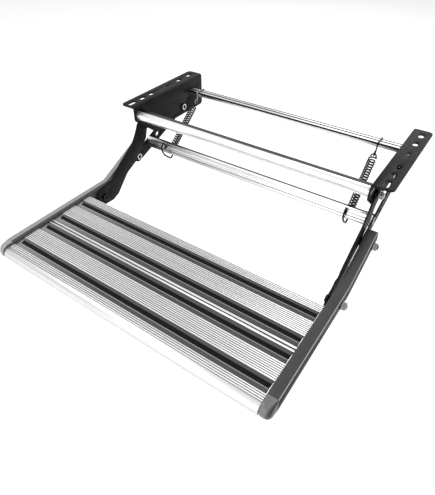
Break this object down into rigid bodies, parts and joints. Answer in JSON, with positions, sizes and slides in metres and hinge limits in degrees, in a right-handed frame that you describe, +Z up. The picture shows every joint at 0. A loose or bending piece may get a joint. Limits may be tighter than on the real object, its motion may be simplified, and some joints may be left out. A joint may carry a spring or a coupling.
{
  "type": "pull-out step",
  "caption": "Folding entrance step for a caravan: ribbed aluminium tread with black grip strips, swinging arms and springs under slotted side mounting brackets.",
  "frame": {"origin": "midway between the round locating holes, on the top faces of the mounting flanges", "axes": "+X across the tread to the user's right, -Y out towards the user, +Z up out of the flange faces"},
  "size_m": [0.607, 0.616, 0.1861],
  "materials": {
    "black_steel": "black powder coat, satin",
    "black_link": "black powder coat, satin",
    "grey_rail": "dark grey paint, satin",
    "rail_aluminium": "bright extruded, fine lengthwise lines",
    "tread_aluminium": "bright extruded, finely ribbed",
    "grip_rubber": "black, matt",
    "cap_plastic": "grey moulded, light sheen",
    "zinc_bolt": "zinc plated",
    "zinc_screw": "zinc plated",
    "zinc_bush": "zinc plated",
    "spring_steel": "bright drawn wire",
    "dark_wire": "dark oiled wire"
  },
  "bodies": {
    "root": {"left_bracket": "black_steel", "right_bracket": "black_steel", "front_rail": "rail_aluminium", "rear_rail": "rail_aluminium", "front_rail_screws": "zinc_screw", "rear_rail_screws": "zinc_screw", "rear_pivot_bolts": "zinc_bolt", "rear_pivot_spacers": "zinc_bush", "rear_pivot_nuts": "zinc_bolt", "front_pivot_bolts": "zinc_bolt", "upper_hooks": "dark_wire"},
    "rear_links": {"left_rear_link": "black_link", "right_rear_link": "black_link", "lower_bar": "rail_aluminium", "lower_bar_screws": "zinc_screw", "lower_hooks": "dark_wire"},
    "tread": {"tread_deck": "tread_aluminium", "grip_strip_1": "grip_rubber", "grip_strip_2": "grip_rubber", "grip_strip_3": "grip_rubber", "grip_strip_4": "grip_rubber", "left_side_rail": "grey_rail", "right_side_rail": "grey_rail", "left_end_cap": "cap_plastic", "right_end_cap": "cap_plastic", "deck_screws": "zinc_screw", "rail_bushes": "zinc_bush", "lower_front_bolts": "zinc_bolt", "lower_front_spacers": "zinc_bush", "lower_front_nuts": "zinc_bolt", "lower_rear_bolts": "zinc_bolt", "lower_rear_nuts": "zinc_bolt"},
    "left_arm": {"left_front_arm": "black_steel", "left_arm_stud": "zinc_bolt", "left_arm_nut": "zinc_bolt"},
    "right_arm": {"right_front_arm": "black_steel", "right_arm_stud": "zinc_bolt", "right_arm_nut": "zinc_bolt"},
    "left_spring_body": {"left_spring": "spring_steel"},
    "right_spring_body": {"right_spring": "spring_steel"}
  },
  "joints": [
    {"name": "fold", "type": "hinge", "parent": "root", "child": "rear_links", "pos_m": [0, 0.032, -0.057], "axis": [1, 0, 0], "range_deg": [0, 136.52]},
    {"name": "tread_level", "type": "hinge", "parent": "rear_links", "child": "tread", "pos_m": [0, -0.131, -0.122], "axis": [1, 0, 0], "range_deg": [-136.6, 0]},
    {"name": "left_arm_swing", "type": "hinge", "parent": "tread", "child": "left_arm", "pos_m": [0, -0.255, -0.165], "axis": [1, 0, 0], "range_deg": [0, 106]},
    {"name": "right_arm_swing", "type": "hinge", "parent": "tread", "child": "right_arm", "pos_m": [0, -0.255, -0.165], "axis": [1, 0, 0], "range_deg": [0, 106]},
    {"name": "left_spring_swing", "type": "hinge", "parent": "root", "child": "left_spring_body", "pos_m": [0, 0.04441, -0.04226], "axis": [1, 0, 0], "range_deg": [0, 124.8], "deforming": ["left_spring"]},
    {"name": "right_spring_swing", "type": "hinge", "parent": "root", "child": "right_spring_body", "pos_m": [0, 0.04441, -0.04226], "axis": [1, 0, 0], "range_deg": [0, 124.8], "deforming": ["right_spring"]}
  ],
  "couplings": [
    {"joint": "tread_level", "follows": "fold", "ratio": -1},
    {"joint": "left_arm_swing", "follows": "fold", "ratio": 0.77589},
    {"joint": "right_arm_swing", "follows": "fold", "ratio": 0.77589},
    {"joint": "left_spring_swing", "follows": "fold", "ratio": 0.91344},
    {"joint": "right_spring_swing", "follows": "fold", "ratio": 0.91344}
  ]
}
